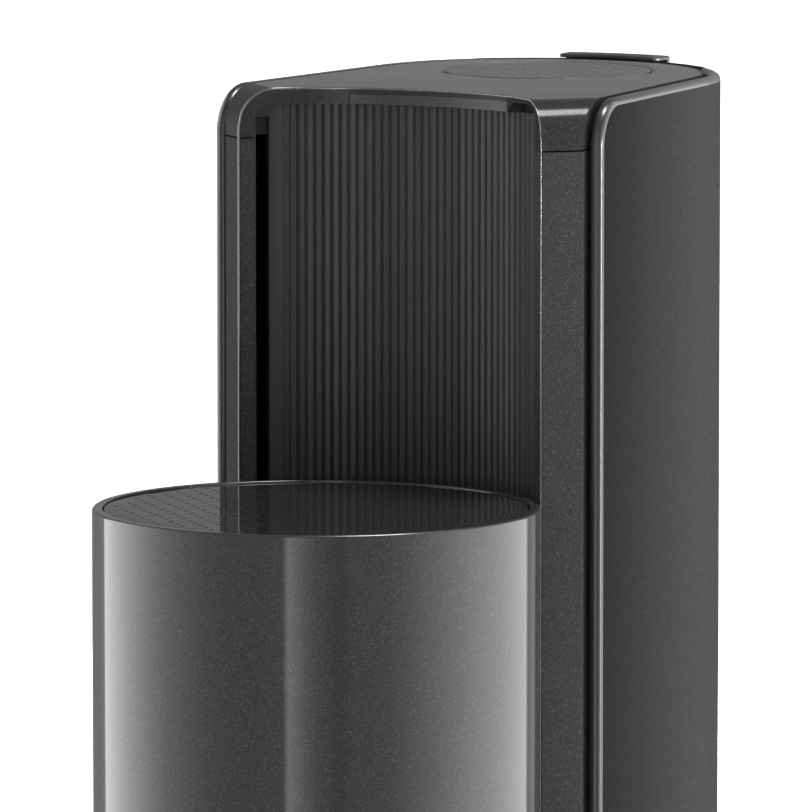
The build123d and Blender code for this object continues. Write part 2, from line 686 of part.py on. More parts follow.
def main():
    right_shell = side_shell()
    right_pillar = front_pillar()
    right_arm = hood_arm()
    liner = slot_liner()
    parts = {
        "side_shell_right": right_shell,
        "side_shell_left": mirrored(right_shell),
        "rear_cover": rear_cover(),
        "cover_tab": cover_tab(),
        "top_cap": top_cap(),
        "top_plate": top_plate(),
        "front_pillar_right": right_pillar,
        "front_pillar_left": mirrored(right_pillar),
        "ribbed_wall": ribbed_wall(),
        "slot_liner_right": liner,
        "slot_liner_left": mirrored(liner),
        "lintel_bar": lintel_bar(),
        "base_shell": base_shell(),
        "base_plate": base_plate(),
        "rubber_feet": rubber_feet(),
        "drip_tray": drip_tray(),
        "drip_grille": drip_grille(),
        "grille_posts": grille_posts(),
        "rod_bracket_bottom": rod_bracket(FLOOR_TOP),
        "rod_bracket_top": rod_bracket(413.0),
        "chassis_frame": chassis_frame(),
        "guide_rod_left": guide_rod(-1),
        "guide_rod_right": guide_rod(1),
        "carriage": carriage(),
        "guide_bushes": guide_bushes(),
        "hood_arm_right": right_arm,
        "hood_arm_left": mirrored(right_arm),
        "arm_screws": arm_screws(),
        "hood_shell": hood_shell(),
        "hood_lid": hood_lid(),
        "hood_deck": hood_deck(),
        "carbonating_head": carbonating_head(),
        "nozzle_tube": nozzle_tube(),
        "nozzle_tip": nozzle_tip(),
        "bottle_seal": bottle_seal(),
        "head_screws": head_screws(),
        "gas_line": gas_line(),
        "line_elbow": line_elbow(),
        "co2_cylinder": co2_cylinder(),
        "cylinder_valve": cylinder_valve(),
        "inlet_seal": inlet_seal(),
        "valve_block": valve_block(),
        "valve_bracket": valve_bracket(),
        "relief_valve": relief_valve(),
        "hose_barb": hose_barb(),
        "gas_hose": gas_hose(),
        "valve_pin": valve_pin(),
        "actuator_lever": actuator_lever(),
        "lever_pin": lever_pin(),
        "cylinder_cradle": cylinder_cradle(),
        "cylinder_collar": cylinder_collar(),
        "carbonate_button": carbonate_button(),
        "button_plunger": button_plunger(),
        "button_bezel": button_bezel(),
        "button_well": button_well(),
        "button_spring": button_spring(),
        "hinge_lugs": hinge_lugs(),
        "hinge_pins": hinge_pins(),
        "cover_magnets": cover_magnets(),
        "magnet_plates": magnet_plates(),
    }
    for node, shape in parts.items():
        save(shape, node)


main()
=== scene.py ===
"""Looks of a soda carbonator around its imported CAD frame."""
import json
import math

import bmesh
import bpy
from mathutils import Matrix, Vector
from mathutils.geometry import delaunay_2d_cdt


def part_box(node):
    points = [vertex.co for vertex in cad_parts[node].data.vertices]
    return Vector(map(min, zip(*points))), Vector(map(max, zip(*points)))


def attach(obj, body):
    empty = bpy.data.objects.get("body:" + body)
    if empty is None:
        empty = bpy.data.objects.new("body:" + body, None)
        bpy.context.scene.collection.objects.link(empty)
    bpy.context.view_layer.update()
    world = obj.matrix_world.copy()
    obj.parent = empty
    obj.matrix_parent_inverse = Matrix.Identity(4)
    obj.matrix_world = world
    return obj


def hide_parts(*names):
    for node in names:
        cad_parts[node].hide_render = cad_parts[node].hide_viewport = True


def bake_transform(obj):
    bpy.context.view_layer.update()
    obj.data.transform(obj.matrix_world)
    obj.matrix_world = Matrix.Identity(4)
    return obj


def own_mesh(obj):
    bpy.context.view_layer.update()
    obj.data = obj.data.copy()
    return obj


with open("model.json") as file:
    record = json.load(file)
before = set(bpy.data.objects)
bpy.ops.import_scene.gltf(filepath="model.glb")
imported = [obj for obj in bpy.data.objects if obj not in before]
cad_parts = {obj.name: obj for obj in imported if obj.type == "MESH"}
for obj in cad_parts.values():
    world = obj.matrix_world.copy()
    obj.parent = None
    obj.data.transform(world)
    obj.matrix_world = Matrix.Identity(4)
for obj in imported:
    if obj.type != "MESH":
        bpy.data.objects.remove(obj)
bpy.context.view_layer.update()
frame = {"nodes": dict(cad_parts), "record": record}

MM = 0.001
scene = bpy.context.scene
nodes = frame["nodes"]
BODY = {n: body for body, members in frame["record"]["behaviour"]["bodies"].items() for n in members}
SLOT = {s["node"]: s["material_slot"] for s in frame["record"]["subparts"]}

# Camera: where it stands, seen from the hood axis, and how it is turned.
AZIMUTH = math.radians(27.444)
CAMERA_DISTANCE = 3.325
CAMERA_HEIGHT = 0.7165
CAMERA_PAN = AZIMUTH - math.radians(0.538)
CAMERA_TILT = math.radians(6.669)
CAMERA_LENS = 427.4
TOWARD = (math.sin(AZIMUTH), -math.cos(AZIMUTH))
RIGHT = (math.cos(AZIMUTH), math.sin(AZIMUTH))


def face_of(node, axis, side):
    """Lowest (side 0) or highest (side 1) coordinate of a CAD node along an axis, in millimetres."""
    return round(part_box(node)[side][axis] / MM, 1)


def middle_y(node):
    return round((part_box(node)[0].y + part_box(node)[1].y) / 2 / MM, 1)


# Places read from the frame, in millimetres.
HOOD_Y = middle_y("hood_shell")
HOOD_R = face_of("hood_shell", 0, 1)
HOOD_BOTTOM = face_of("hood_shell", 2, 0)
HOOD_TOP = face_of("hood_shell", 2, 1)
LID_R = face_of("hood_lid", 0, 1)
LID_BOTTOM = face_of("hood_lid", 2, 0)
LID_TOP = face_of("hood_lid", 2, 1)
TANK_Y = middle_y("carbonate_button")
BUTTON_R = face_of("carbonate_button", 0, 1)
TOP = face_of("top_plate", 2, 1)
NOSE_Y = face_of("side_shell_right", 1, 0)       # front tip of the side shells
SPLIT_X = face_of("side_shell_right", 0, 0)      # where the side shells end at the back cover
SHELL_BOTTOM = face_of("side_shell_right", 2, 0)
PILLAR_FOOT = face_of("front_pillar_right", 2, 0)

# Sizes that the boxes don't show, in millimetres and radians.
REAR_R = 67.6
REAR_Y = round(face_of("rear_cover", 1, 1) - REAR_R, 1)
TAPER = math.radians(4.9)
HOOD_T = 3.0
SHELL_T = 5.0
SHELL_CORNER_R = 17.0
SCOOP_R = 81.5
SCOOP_HALF = math.radians(47.0)
ROUND_R = 13.5             # rounding of the cap from front to top
PILLAR_X = 70.8            # outer front corner of a pillar
PILLAR_Y = -17.4


# ---------- camera ----------

def make_camera():
    data = bpy.data.cameras.new("camera")
    data.lens = CAMERA_LENS
    data.sensor_width = 36.0
    data.clip_start = 0.05
    data.clip_end = 60.0
    cam = bpy.data.objects.new("camera", data)
    scene.collection.objects.link(cam)
    cam.location = (CAMERA_DISTANCE * TOWARD[0], HOOD_Y * MM + CAMERA_DISTANCE * TOWARD[1], CAMERA_HEIGHT)
    cam.rotation_euler = (math.radians(90.0) - CAMERA_TILT, 0.0, CAMERA_PAN)
    scene.camera = cam


# ---------- material helpers ----------

class Nodes:
    """Thin wrapper that makes and links shader nodes."""

    def __init__(self, tree):
        self.tree = tree

    def add(self, kind, **values):
        node = self.tree.nodes.new(kind)
        for key, value in values.items():
            setattr(node, key, value)
        return node

    def link(self, a, b):
        self.tree.links.new(a, b)

    def math(self, operation, a, b):
        node = self.add("ShaderNodeMath", operation=operation)
        for socket, value in zip(node.inputs, (a, b)):
            if isinstance(value, (int, float)):
                socket.default_value = value
            else:
                self.link(value, socket)
        return node.outputs[0]

    def ramp(self, fac, stops):
        """Grey ramp from pairs of position and brightness."""
        node = self.add("ShaderNodeValToRGB")
        elements = node.color_ramp.elements
        elements[0].position = stops[0][0]
        elements[0].color = tuple([stops[0][1]] * 3) + (1.0,)
        elements[1].position = stops[-1][0]
        elements[1].color = tuple([stops[-1][1]] * 3) + (1.0,)
        for position, value in stops[1:-1]:
            made = elements.new(position)
            made.color = tuple([value] * 3) + (1.0,)
        self.link(fac, node.inputs[0])
        return node.outputs[0]


def material(name):
    mat = bpy.data.materials.new(name)
    mat.use_nodes = True
    tree = mat.node_tree
    shader = next(n for n in tree.nodes if n.type == "BSDF_PRINCIPLED")
    return mat, Nodes(tree), shader


def grey(value, tint=(1.0, 1.0, 1.0)):
    return tuple(value * t for t in tint) + (1.0,)


def mixed(kit, fac, low, high):
    """A colour between two colours; the sockets used are the RGBA ones of the mix node."""
    node = kit.add("ShaderNodeMix", data_type="RGBA")
    kit.link(fac, node.inputs[0])
    node.inputs[6].default_value = low
    node.inputs[7].default_value = high
    return node.outputs[2]


def position(kit, scale=(1, 1, 1)):
    coords = kit.add("ShaderNodeTexCoord")
    mapping = kit.add("ShaderNodeMapping")
    mapping.inputs["Scale"].default_value = scale
    kit.link(coords.outputs["Object"], mapping.inputs["Vector"])
    return mapping.outputs[0]


def noise(kit, vector, scale, detail=3.0, rough=0.5):
    node = kit.add("ShaderNodeTexNoise")
    node.inputs["Scale"].default_value = scale
    node.inputs["Detail"].default_value = detail
    node.inputs["Roughness"].default_value = rough
    kit.link(vector, node.inputs["Vector"])
    return node.outputs["Fac"]


def bump(kit, normal, height, distance, strength=1.0):
    """Fine relief on a normal input; its depth is in metres."""
    node = kit.add("ShaderNodeBump")
    node.inputs["Distance"].default_value = distance
    node.inputs["Strength"].default_value = strength
    kit.link(height, node.inputs["Height"])
    kit.link(node.outputs[0], normal)


def vary_roughness(kit, shader, vector, scale, low, high):
    """A slow variation of the roughness between two values."""
    node = kit.add("ShaderNodeMapRange")
    node.inputs["From Min"].default_value = 0.3
    node.inputs["From Max"].default_value = 0.7
    node.inputs["To Min"].default_value = low
    node.inputs["To Max"].default_value = high
    kit.link(noise(kit, vector, scale), node.inputs["Value"])
    kit.link(node.outputs[0], shader.inputs["Roughness"])


def flake_lacquer(name, base, metallic, rough, coat, coat_rough, flake, peel=0.0, specular=0.5):
    """Dark lacquer with fine metal flakes under a clear coat; peel is the coat's waviness in metres."""
    mat, kit, shader = material(name)
    where = position(kit)
    cells = kit.add("ShaderNodeTexVoronoi", feature="F1")
    cells.inputs["Scale"].default_value = 2600.0
    kit.link(where, cells.inputs["Vector"])
    pick = kit.add("ShaderNodeSeparateColor")
    kit.link(cells.outputs["Color"], pick.inputs[0])
    glint = kit.ramp(pick.outputs[0], [(0.0, 0.0), (0.72, 0.12), (0.9, 0.45), (1.0, 1.0)])
    cloud = noise(kit, where, 900.0, 4.0, 0.7)
    amount = kit.math("MULTIPLY", glint, cloud)
    low = grey(base)
    high = grey(base * (1.0 + 5.0 * flake), (1.0, 1.0, 1.02))
    kit.link(mixed(kit, amount, low, high), shader.inputs["Base Color"])
    shader.inputs["Metallic"].default_value = metallic
    vary_roughness(kit, shader, where, 14.0, rough * 0.9, rough * 1.12)
    shader.inputs["Specular IOR Level"].default_value = specular
    shader.inputs["Coat Weight"].default_value = coat
    shader.inputs["Coat Roughness"].default_value = coat_rough
    bump(kit, shader.inputs["Normal"], pick.outputs[1], 0.00004, flake)
    if peel:
        bump(kit, shader.inputs["Coat Normal"], noise(kit, where, 260.0, 2.0), peel)
    return mat


def gloss_plastic(name, base, rough, specular):
    """Smooth plastic with a faint unevenness of tone."""
    mat, kit, shader = material(name)
    where = position(kit)
    fine = noise(kit, where, 1400.0, 3.0, 0.6)
    kit.link(mixed(kit, fine, grey(base * 0.8), grey(base * 1.25)), shader.inputs["Base Color"])
    vary_roughness(kit, shader, where, 40.0, rough * 0.85, rough * 1.2)
    shader.inputs["Specular IOR Level"].default_value = specular
    return mat


def moulded(name, base, rough, grain=0.00003, scale=2200.0):
    """Fine-grained moulded plastic or rubber."""
    mat, kit, shader = material(name)
    where = position(kit)
    grainy = noise(kit, where, scale, 5.0, 0.65)
    cloudy = noise(kit, where, 60.0, 2.0)
    mixer = kit.math("MULTIPLY", grainy, cloudy)
    kit.link(mixed(kit, mixer, grey(base * 0.75), grey(base * 1.5)), shader.inputs["Base Color"])
    vary_roughness(kit, shader, where, 90.0, rough * 0.88, min(1.0, rough * 1.15))
    bump(kit, shader.inputs["Normal"], grainy, grain)
    return mat


def metal(name, colour, rough, stretch=(1, 1, 1)):
    """Brushed or turned metal: streaks along the axis with the small stretch."""
    mat, kit, shader = material(name)
    where = position(kit, stretch)
    streak = noise(kit, where, 900.0, 4.0, 0.6)
    dark = tuple(c * 0.82 for c in colour) + (1.0,)
    light = tuple(min(1.0, c * 1.12) for c in colour) + (1.0,)
    kit.link(mixed(kit, streak, dark, light), shader.inputs["Base Color"])
    shader.inputs["Metallic"].default_value = 1.0
    vary_roughness(kit, shader, where, 450.0, rough * 0.8, rough * 1.25)
    bump(kit, shader.inputs["Normal"], streak, 0.00001)
    return mat


def ribbed_finish(name):
    """Semi-gloss black plastic; each rib a little lighter or darker than the next."""
    mat, kit, shader = material(name)
    where = position(kit, (1.0, 1.0, 0.004))
    tone = noise(kit, where, 420.0, 2.0, 0.9)
    fine = noise(kit, position(kit), 1500.0, 3.0)
    kit.link(mixed(kit, tone, grey(0.022), grey(0.08)), shader.inputs["Base Color"])
    vary_roughness(kit, shader, where, 300.0, 0.22, 0.42)
    shader.inputs["Specular IOR Level"].default_value = 0.28
    bump(kit, shader.inputs["Normal"], fine, 0.000012)
    return mat


MATERIALS = {
    "shell_lacquer": flake_lacquer("shell_lacquer", 0.012, 0.0, 0.36, 0.035, 0.16, 0.35, specular=0.0),
    "hood_lacquer": flake_lacquer("hood_lacquer", 0.028, 0.55, 0.38, 1.0, 0.045, 0.7, peel=0.000002),
    "lid_gloss": gloss_plastic("lid_gloss", 0.021, 0.025, 0.19),
    "button_gloss": gloss_plastic("button_gloss", 0.05, 0.3, 0.4),
    "top_inlay": flake_lacquer("top_inlay", 0.064, 0.2, 0.42, 0.1, 0.28, 0.3),
    "cap_satin": flake_lacquer("cap_satin", 0.028, 0.1, 0.3, 0.3, 0.12, 0.45, specular=0.0),
    "pillar_satin": flake_lacquer("pillar_satin", 0.04, 0.0, 0.4, 0.0, 0.2, 0.45, specular=0.0),
    "lintel_satin": flake_lacquer("lintel_satin", 0.05, 0.5, 0.34, 0.3, 0.2, 0.4),
    "ribbed_plastic": ribbed_finish("ribbed_plastic"),
    "trim_black": moulded("trim_black", 0.016, 0.42),
    "base_plastic": moulded("base_plastic", 0.028, 0.45),
    "tray_plastic": moulded("tray_plastic", 0.024, 0.4),
    "inner_plastic": moulded("inner_plastic", 0.05, 0.5),
    "carriage_plastic": moulded("carriage_plastic", 0.09, 0.48, 0.00004),
    "nozzle_plastic": moulded("nozzle_plastic", 0.55, 0.35, 0.00001),
    "foot_rubber": moulded("foot_rubber", 0.02, 0.75, 0.00006),
    "seal_rubber": moulded("seal_rubber", 0.09, 0.6, 0.00003),
    "hose_rubber": moulded("hose_rubber", 0.035, 0.55, 0.00006, scale=1500.0),
    "grille_steel": metal("grille_steel", (0.52, 0.52, 0.53), 0.3, (1, 0.02, 1)),
    "frame_steel": metal("frame_steel", (0.42, 0.43, 0.44), 0.38, (1, 1, 0.05)),
    "arm_steel": metal("arm_steel", (0.30, 0.30, 0.31), 0.3, (1, 1, 0.05)),
    "rod_chrome": metal("rod_chrome", (0.75, 0.76, 0.78), 0.08, (1, 1, 0.3)),
    "nozzle_steel": metal("nozzle_steel", (0.62, 0.62, 0.64), 0.16, (1, 1, 0.2)),
    "screw_steel": metal("screw_steel", (0.55, 0.55, 0.56), 0.28),
    "pin_steel": metal("pin_steel", (0.6, 0.6, 0.62), 0.2),
    "spring_steel": metal("spring_steel", (0.5, 0.5, 0.52), 0.25),
    "bush_brass": metal("bush_brass", (0.55, 0.40, 0.20), 0.38),
    "valve_brass": metal("valve_brass", (0.68, 0.50, 0.22), 0.22, (1, 1, 0.1)),
    "block_metal": metal("block_metal", (0.60, 0.61, 0.63), 0.3, (0.05, 1, 1)),
    "tank_aluminium": metal("tank_aluminium", (0.48, 0.50, 0.54), 0.34, (1, 1, 0.04)),
    "magnet_metal": metal("magnet_metal", (0.66, 0.66, 0.68), 0.18),
}

# Light metallic bead round the hollow's edge: a painted highlight standing in for the edge's light line.
RIM_PAINTED_HIGHLIGHT = flake_lacquer("rim_painted_highlight", 0.24, 0.8, 0.16, 0.3, 0.08, 0.1)
# Glossier coat on the shells' rounded edge, and a lighter base than the shell lacquer: the lighter base is
# a painted highlight.
BEAD_GLOSS_PAINTED_HIGHLIGHT = flake_lacquer("bead_gloss_and_painted_highlight", 0.03, 0.2, 0.3, 0.5, 0.09, 0.2)      # rounded edge of the side shells


def dress(obj, node):
    mat = MATERIALS[SLOT[node]]
    obj.data.materials.clear()
    obj.data.materials.append(mat)


# ---------- geometry helpers ----------

def mesh_of(name, verts, faces):
    """Mesh from points in millimetres."""
    mesh = bpy.data.meshes.new(name)
    mesh.from_pydata([tuple(c * MM for c in v) for v in verts], [], faces)
    return mesh


def place(name, mesh):
    obj = bpy.data.objects.new(name, mesh)
    scene.collection.objects.link(obj)
    return obj


def turn_outward(mesh, join=0.0):
    """Turns every face outward, after joining points closer than a distance in metres."""
    bm = bmesh.new()
    bm.from_mesh(mesh)
    if join:
        bmesh.ops.remove_doubles(bm, verts=bm.verts, dist=join)
    bmesh.ops.recalc_face_normals(bm, faces=bm.faces)
    bm.to_mesh(mesh)
    bm.free()


def finish_piece(obj, node, smooth_angle=30.0):
    """Shading, material, body and slot of a piece that replaces a CAD node."""
    mesh = obj.data
    mesh.shade_smooth()
    mesh.set_sharp_from_angle(angle=math.radians(smooth_angle))
    dress(obj, node)
    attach(obj, BODY[node])
    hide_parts(node)


def new_object(name, verts, faces, node, smooth_angle=30.0):
    mesh = mesh_of(name, verts, faces)
    mesh.validate()
    mesh.update()
    obj = place(name, mesh)
    finish_piece(obj, node, smooth_angle)
    return obj


def extra_piece(name, verts, faces, mat):
    """Trim on the tower that has no solid of its own."""
    mesh = mesh_of(name, verts, faces)
    turn_outward(mesh)
    mesh.shade_smooth()
    mesh.materials.append(mat)
    obj = place(name, mesh)
    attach(obj, "tower")


def arc(cx, cz, radius, start, end, count):
    """Points of a rounding from one angle to another, in degrees."""
    out = []
    for i in range(count + 1):
        t = math.radians(start + (end - start) * i / count)
        out.append((cx + radius * math.cos(t), cz + radius * math.sin(t)))
    return out


def circle(radius, count):
    turns = [2 * math.pi * k / count for k in range(count)]
    return [(radius * math.cos(t), radius * math.sin(t)) for t in turns]


def band(first, second, count):
    """Faces between two closed rows of points, each given by the number of its first point."""
    pairs = [(k, (k + 1) % count) for k in range(count)]
    return [(first + k, first + n, second + n, second + k) for k, n in pairs]


def lathe(name, profile, centre_y, node, count):
    """Turned piece from a closed profile of (radius, z) in millimetres."""
    verts, faces = [], []
    for r, z in profile:
        verts += [(x, centre_y + y, z) for x, y in circle(r, count)]
    rows = len(profile)
    for i in range(rows):
        faces += band(i * count, (i + 1) % rows * count, count)
    new_object(name, verts, faces, node)


# Dimples: radius, distance along the diagonal, bare border, and their section from the middle outward
# as a share of the radius and a share of the depth. The last two steps keep the flat round them flat.
DIMPLE_R = 1.0
DIMPLE_PITCH = 6.48
DIMPLE_BORDER = 4.0
DIMPLE_SECTION = [(0.45, 0.86), (0.75, 0.5), (0.94, 0.12), (1.05, 0.0), (1.2, 0.0)]
DIMPLE_SIDES = 14
DISC_SIDES = 192
DISC_ROUND = 0.35          # rounding of a disc's upper edge
DISC_CHAMFER = 0.2         # chamfer of its lower edge


def dimple_centres(radius):
    """Square lattice turned by 45 degrees, inside a circle."""
    step = DIMPLE_PITCH / math.sqrt(2.0)
    reach = int(radius / step) + 1
    out = []
    for i in range(-reach, reach + 1):
        for j in range(-reach, reach + 1):
            if (i + j) % 2:
                continue
            x, y = i * step, j * step
            if math.hypot(x, y) < radius:
                out.append((x, y))
    return out


def dimpled_face(radius, top, depth, centre_y):
    """Points and faces of a disc's upper side, flat up to the rounding of its edge."""
    points, heights = [], []
    for x, y in dimple_centres(radius - DIMPLE_BORDER):
        points.append((x, y))
        heights.append(top - depth)
        for share, drop in DIMPLE_SECTION:
            points += [(x + u, y + v) for u, v in circle(DIMPLE_R * share, DIMPLE_SIDES)]
            heights += [top - depth * drop] * DIMPLE_SIDES
    points += circle(radius - DISC_ROUND, DISC_SIDES)
    heights += [top] * DISC_SIDES
    made = delaunay_2d_cdt([Vector(p) for p in points], [], [], 0, 1e-6)
    places, triangles, sources = made[0], made[2], made[3]
    verts = [(p[0], centre_y + p[1], heights[source[0]]) for p, source in zip(places, sources)]
    faces = []
    for triangle in triangles:
        a, b, c = (places[i] for i in triangle)
        faces.append(tuple(triangle) if (b - a).cross(c - a) > 0 else tuple(reversed(triangle)))
    return verts, faces


def dimpled_disc(name, radius, top, bottom, depth, centre_y, node):
    """Disc with pressed round dimples on a diagonal grid and a rounded rim."""
    verts, faces = dimpled_face(radius, top, depth, centre_y)
    profile = arc(radius - DISC_ROUND, top - DISC_ROUND, DISC_ROUND, 90, 0, 4)
    profile += [(radius, bottom + DISC_CHAMFER), (radius - DISC_CHAMFER, bottom), (0.01, bottom)]
    start = len(verts)
    for r, z in profile:
        verts += [(x, centre_y + y, z) for x, y in circle(r, DISC_SIDES)]
    for i in range(len(profile) - 1):
        upper = start + i * DISC_SIDES
        faces += band(upper + DISC_SIDES, upper, DISC_SIDES)
    mesh = mesh_of(name, verts, faces)
    turn_outward(mesh, join=0.000002)
    finish_piece(place(name, mesh), node, 50.0)


def welded(node, merge_flats=True):
    """A copy of a node's CAD mesh with its doubled points joined."""
    bm = bmesh.new()
    bm.from_mesh(nodes[node].data)
    bmesh.ops.remove_doubles(bm, verts=bm.verts, dist=0.000003)
    if merge_flats:
        bmesh.ops.dissolve_limit(bm, angle_limit=math.radians(0.25), verts=bm.verts, edges=bm.edges)
    mesh = bpy.data.meshes.new(node + "_fine")
    bm.to_mesh(mesh)
    bm.free()
    if "custom_normal" in mesh.attributes:
        mesh.attributes.remove(mesh.attributes["custom_normal"])
    return place(node + "_fine", mesh)


def soft_pieces():
    """Welded copies of the spring, on its body with a mesh of its own, and of the hose, fixed in place."""
    spring = welded("button_spring", merge_flats=False)
    finish_piece(spring, "button_spring")
    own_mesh(spring)
    hose = welded("gas_hose", merge_flats=False)
    hose.data.shade_smooth()
    dress(hose, "gas_hose")
    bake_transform(hose)
    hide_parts("gas_hose")


SHARP_ANGLE = 28.0         # edges that turn by more than this many degrees are rounded


def refined(node, width):
    """The CAD shape of a node with its sharp edges rounded by a small bevel."""
    obj = welded(node)
    finish_piece(obj, node, SHARP_ANGLE)
    bevel = obj.modifiers.new("rounding", "BEVEL")
    bevel.width = width * MM
    bevel.segments = 3
    bevel.limit_method = "ANGLE"
    bevel.angle_limit = math.radians(SHARP_ANGLE)
    bevel.harden_normals = True
    bevel.use_clamp_overlap = True
    even = obj.modifiers.new("even_shading", "WEIGHTED_NORMAL")
    even.keep_sharp = True


# ---------- pieces ----------

def hood_pieces():
    rim, lip, foot, foot_inside = 1.1, 0.6, 0.6, 0.4
    wall = HOOD_R - HOOD_T
    mouth = LID_R + 0.4
    ledge = HOOD_TOP - 4.0
    profile = [(HOOD_R, HOOD_BOTTOM + foot), (HOOD_R, HOOD_TOP - rim)]
    profile += arc(HOOD_R - rim, HOOD_TOP - rim, rim, 10, 90, 8)
    profile += [(mouth + lip, HOOD_TOP)] + arc(mouth + lip, HOOD_TOP - lip, lip, 105, 180, 5)
    profile += [(mouth, ledge), (wall, ledge), (wall, HOOD_BOTTOM + foot_inside)]
    profile += arc(wall + foot_inside, HOOD_BOTTOM + foot_inside, foot_inside, 190, 270, 3)
    profile += [(HOOD_R - foot, HOOD_BOTTOM)]
    profile += arc(HOOD_R - foot, HOOD_BOTTOM + foot, foot, 280, 360, 4)[:-1]
    lathe("hood_shell_turned", profile, HOOD_Y, "hood_shell", 360)
    dimpled_disc("hood_lid_dimpled", LID_R, LID_TOP, LID_BOTTOM, 0.2, HOOD_Y, "hood_lid")


def button_pieces():
    low, ledge, crown = TOP - 4.0, TOP - 1.2, TOP - 0.1
    dimpled_disc("button_dimpled", BUTTON_R, TOP - 0.05, low, 0.5, TANK_Y, "carbonate_button")
    inside, crest, neck, outside = 38.0, 39.5, 40.8, 41.5
    lip, rise, edge = 0.2, 0.45, 0.05
    profile = [(inside, low), (inside, ledge)] + arc(inside + lip, ledge + edge, lip, 180, 105, 3)
    profile += arc(crest, crown - rise, rise, 150, 90, 4)
    profile += [(outside - edge, crown), (outside, crown - edge), (outside, ledge)]
    profile += [(neck, ledge), (neck, low)]
    lathe("button_bezel_turned", profile, TANK_Y, "button_bezel", 192)


# Middle of a side shell's wall, and lengths along it from the nose: to the end of the straight flank
# and to the back edge.
SHELL_HALF = SHELL_T / 2
SHELL_MID_R = REAR_R - SHELL_HALF
FLANK = (REAR_Y + SHELL_MID_R * math.sin(TAPER) - NOSE_Y) / math.cos(TAPER)
SHELL_END = FLANK + SHELL_MID_R * (math.acos(SPLIT_X / SHELL_MID_R) - TAPER)


def shell_point(s, z, out):
    """Point on a side shell: distance from the nose, height and distance outside the middle."""
    r = SHELL_MID_R + out
    if s < FLANK:
        back = FLANK - s
        x = r * math.cos(TAPER) + back * math.sin(TAPER)
        return (x, REAR_Y + r * math.sin(TAPER) - back * math.cos(TAPER), z)
    share = (s - FLANK) / (SHELL_END - FLANK)
    t = TAPER + share * (math.acos(SPLIT_X / r) - TAPER)
    return (r * math.cos(t), REAR_Y + r * math.sin(t), z)


def shell_outline(inset):
    """Side view of a shell, set in from its edge: the nose, the upper corner and the top."""
    points = [(inset, SHELL_BOTTOM)]
    points += arc(SHELL_CORNER_R, TOP - SHELL_CORNER_R, SHELL_CORNER_R - inset, 180, 90, 14)
    straight = [SHELL_CORNER_R + (FLANK - SHELL_CORNER_R) * i / 8 for i in range(1, 9)]
    bend = [FLANK + (SHELL_END - FLANK) * i / 28 for i in range(1, 29)]
    return points + [(s, TOP - inset) for s in straight + bend]


def bead_section():
    """Inset and distance from the middle: a quarter round and a step on to the flat wall."""
    turns = [math.radians(a) for a in (0, 20, 40, 60, 78, 90)]
    section = [(SHELL_HALF * (1 - math.cos(t)), SHELL_HALF * math.sin(t)) for t in turns]
    return section + [(SHELL_HALF + 0.6, SHELL_HALF)]


def shell_skin():
    """Points and faces of the right shell, and how many faces, the first ones, are the bead."""
    section = bead_section()
    verts, faces, lines = [], [], []
    for side in (1, -1):
        for inset, out in section:
            if side < 0 and out == 0:
                lines.append(lines[0])         # both sides share the outermost line
                continue
            points = [shell_point(s, z, side * out) for s, z in shell_outline(inset)]
            lines.append(list(range(len(verts), len(verts) + len(points))))
            verts += points
    rows = len(section)
    count = len(lines[0])
    outer, inner = lines[:rows], lines[rows:]
    for k in range(rows - 1):
        for half in (outer, inner):
            a, b = half[k], half[k + 1]
            faces += [(a[i], a[i + 1], b[i + 1], b[i]) for i in range(count - 1)]
    feet = []
    for side, top in ((1, outer[-1]), (-1, inner[-1])):
        foot = [top[0], top[0]]                # the nose line has no foot of its own
        for s, _z in shell_outline(section[-1][0])[2:]:
            foot.append(len(verts))
            verts.append(shell_point(s, SHELL_BOTTOM, side * SHELL_HALF))
        faces.append((top[0], top[1], top[2], foot[2]))
        faces += [(top[i], top[i + 1], foot[i + 1], foot[i]) for i in range(2, count - 1)]
        feet.append(foot)
    faces += [(feet[0][i], feet[0][i + 1], feet[1][i + 1], feet[1][i]) for i in range(1, count - 1)]
    back_inner = inner[:0:-1]
    faces.append(tuple(line[0] for line in outer + back_inner))
    faces.append(tuple(line[-1] for line in outer + feet + back_inner))
    return verts, faces, 2 * (rows - 2) * (count - 1)


def side_shells():
    """Skins with a fully rounded bead along the nose, the upper corner and the top."""
    verts, faces, bead_faces = shell_skin()
    for name, sign in (("side_shell_right", 1), ("side_shell_left", -1)):
        placed = [(sign * x, y, z) for x, y, z in verts]
        obj = new_object(name + "_rounded", placed, faces, name, 40.0)
        # The bead faces get the lighter copy of the lacquer, a painted highlight along the rounded edge.
        obj.data.materials.append(BEAD_GLOSS_PAINTED_HIGHLIGHT)
        for face in obj.data.polygons[:bead_faces]:
            face.material_index = 1
        turn_outward(obj.data)


def rim_path():
    """Right half of the hollow's edge: up the pillar, over the cap's rounding and along the arch."""
    inner = (SCOOP_R * math.sin(SCOOP_HALF), HOOD_Y + SCOOP_R * math.cos(SCOOP_HALF))
    face = Vector((PILLAR_X - inner[0], PILLAR_Y - inner[1])).normalized()
    into = Vector((-face[1], face[0]))
    path = [(*inner, PILLAR_FOOT + 0.5), (*inner, TOP - ROUND_R)]
    steps = 72
    for i in range(1, steps + 1):
        a = SCOOP_HALF * (1 - i / steps)
        x, y = SCOOP_R * math.sin(a), HOOD_Y + SCOOP_R * math.cos(a)
        deep = (x - inner[0]) * into[0] + (y - inner[1]) * into[1]
        rise = math.sqrt(max(0.0, ROUND_R ** 2 - (ROUND_R - deep) ** 2))
        path.append((x, y, TOP if deep >= ROUND_R else TOP - ROUND_R + rise))
    return path


